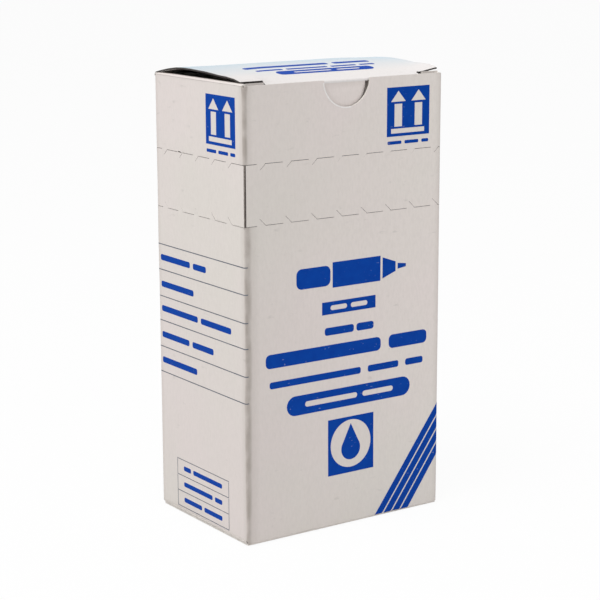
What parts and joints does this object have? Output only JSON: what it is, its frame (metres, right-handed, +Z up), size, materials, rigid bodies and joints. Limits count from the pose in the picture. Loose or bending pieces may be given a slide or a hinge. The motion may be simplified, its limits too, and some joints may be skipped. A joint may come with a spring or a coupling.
{
  "type": "carton of correction pens",
  "caption": "Upright folding carton with a tuck lid, thumb notch and zipper tear strip, filled with flat capped correction pens, each a squeeze barrel with a sprung needle tip.",
  "frame": {"origin": "middle of the carton's base, on the surface it stands on", "axes": "+Z up, the front panel with the thumb notch faces -Y, +X to the right seen from the front"},
  "size_m": [0.0728, 0.05, 0.1413],
  "materials": {
    "printed_board": "white coated folding boxboard with blue print and grey cut edges",
    "pen_barrel_plastic": "satin white squeeze barrel",
    "pen_cap_plastic": "glossy blue moulded cap",
    "pen_nozzle_plastic": "white moulded nozzle",
    "tip_metal": "turned and polished metal tip",
    "spring_steel": "bright steel",
    "seal_rubber": "soft white seal"
  },
  "bodies": {
    "tray": {"tray_front_panel": "printed_board", "tray_right_panel": "printed_board", "tray_back_panel": "printed_board", "tray_left_panel": "printed_board", "tray_glue_flap": "printed_board", "bottom_outer_flap": "printed_board", "bottom_inner_flap": "printed_board", "bottom_left_flap": "printed_board", "bottom_right_flap": "printed_board", "pen_01_barrel": "pen_barrel_plastic", "pen_01_cap": "pen_cap_plastic", "pen_02_barrel": "pen_barrel_plastic", "pen_02_cap": "pen_cap_plastic", "pen_03_barrel": "pen_barrel_plastic", "pen_03_cap": "pen_cap_plastic", "pen_04_barrel": "pen_barrel_plastic", "pen_04_cap": "pen_cap_plastic", "pen_06_barrel": "pen_barrel_plastic", "pen_06_cap": "pen_cap_plastic", "pen_07_barrel": "pen_barrel_plastic", "pen_07_cap": "pen_cap_plastic", "pen_08_barrel": "pen_barrel_plastic", "pen_08_cap": "pen_cap_plastic", "pen_09_barrel": "pen_barrel_plastic", "pen_09_cap": "pen_cap_plastic", "pen_10_barrel": "pen_barrel_plastic", "pen_10_cap": "pen_cap_plastic", "pen_11_barrel": "pen_barrel_plastic", "pen_11_cap": "pen_cap_plastic", "pen_12_barrel": "pen_barrel_plastic", "pen_12_cap": "pen_cap_plastic"},
    "tear_strip": {"tear_strip_front": "printed_board", "tear_strip_right": "printed_board", "tear_strip_back": "printed_board", "tear_strip_left": "printed_board", "tear_strip_glue_flap": "printed_board"},
    "hood": {"hood_front_panel": "printed_board", "hood_right_panel": "printed_board", "hood_back_panel": "printed_board", "hood_left_panel": "printed_board", "hood_glue_flap": "printed_board"},
    "lid": {"lid_panel": "printed_board"},
    "tuck_flap": {"tuck_flap": "printed_board"},
    "dust_flap_left": {"dust_flap_left": "printed_board"},
    "dust_flap_right": {"dust_flap_right": "printed_board"},
    "drawn_pen": {"pen_05_barrel": "pen_barrel_plastic", "pen_05_nozzle": "pen_nozzle_plastic", "pen_05_metal_tip": "tip_metal", "pen_05_valve_spring": "spring_steel"},
    "pen_cap": {"pen_05_cap": "pen_cap_plastic", "pen_05_cap_seal": "seal_rubber"},
    "pen_needle": {"pen_05_needle": "tip_metal"},
    "mixing_weight": {"pen_05_mixing_weight": "spring_steel"}
  },
  "joints": [
    {"name": "hood_lift", "type": "slide", "parent": "tray", "child": "hood", "axis": [0, 0, 1], "range_m": [0, 0.08]},
    {"name": "strip_lift", "type": "slide", "parent": "tray", "child": "tear_strip", "axis": [0, 0, 1], "range_m": [0, 0.04]},
    {"name": "lid_hinge", "type": "hinge", "parent": "hood", "child": "lid", "pos_m": [0, 0.02475, 0.13775], "axis": [-1, 0, 0], "range_deg": [0, 180]},
    {"name": "tuck_fold", "type": "hinge", "parent": "lid", "child": "tuck_flap", "pos_m": [0, -0.02415, 0.13775], "axis": [-1, 0, 0], "range_deg": [0, 46]},
    {"name": "dust_left_fold", "type": "hinge", "parent": "hood", "child": "dust_flap_left", "pos_m": [-0.0361, 0, 0.13825], "axis": [0, -1, 0], "range_deg": [0, 127]},
    {"name": "dust_right_fold", "type": "hinge", "parent": "hood", "child": "dust_flap_right", "pos_m": [0.0361, 0, 0.13825], "axis": [0, 1, 0], "range_deg": [0, 127]},
    {"name": "pen_draw", "type": "slide", "parent": "tray", "child": "drawn_pen", "axis": [0, 0, 1], "range_m": [0, 0.06]},
    {"name": "cap_pull", "type": "slide", "parent": "drawn_pen", "child": "pen_cap", "axis": [0, 0, 1], "range_m": [0, 0.045]},
    {"name": "needle_press", "type": "slide", "parent": "drawn_pen", "child": "pen_needle", "axis": [0, 0, -1], "range_m": [0, 0.0008], "stiffness_N_per_m": 250, "deforming": ["pen_05_valve_spring"]},
    {"name": "weight_rattle", "type": "slide", "parent": "drawn_pen", "child": "mixing_weight", "axis": [0, 0, 1], "range_m": [0, 0.07]}
  ],
  "couplings": [
    {"joint": "tuck_fold", "follows": "lid_hinge", "ratio": 0.25},
    {"joint": "dust_left_fold", "follows": "lid_hinge", "ratio": 0.7},
    {"joint": "dust_right_fold", "follows": "lid_hinge", "ratio": 0.7},
    {"joint": "pen_draw", "follows": "lid_hinge", "m_per_rad": 0.019079},
    {"joint": "cap_pull", "follows": "lid_hinge", "m_per_rad": 0.01431},
    {"joint": "strip_lift", "follows": "hood_lift", "ratio": 0.5}
  ]
}
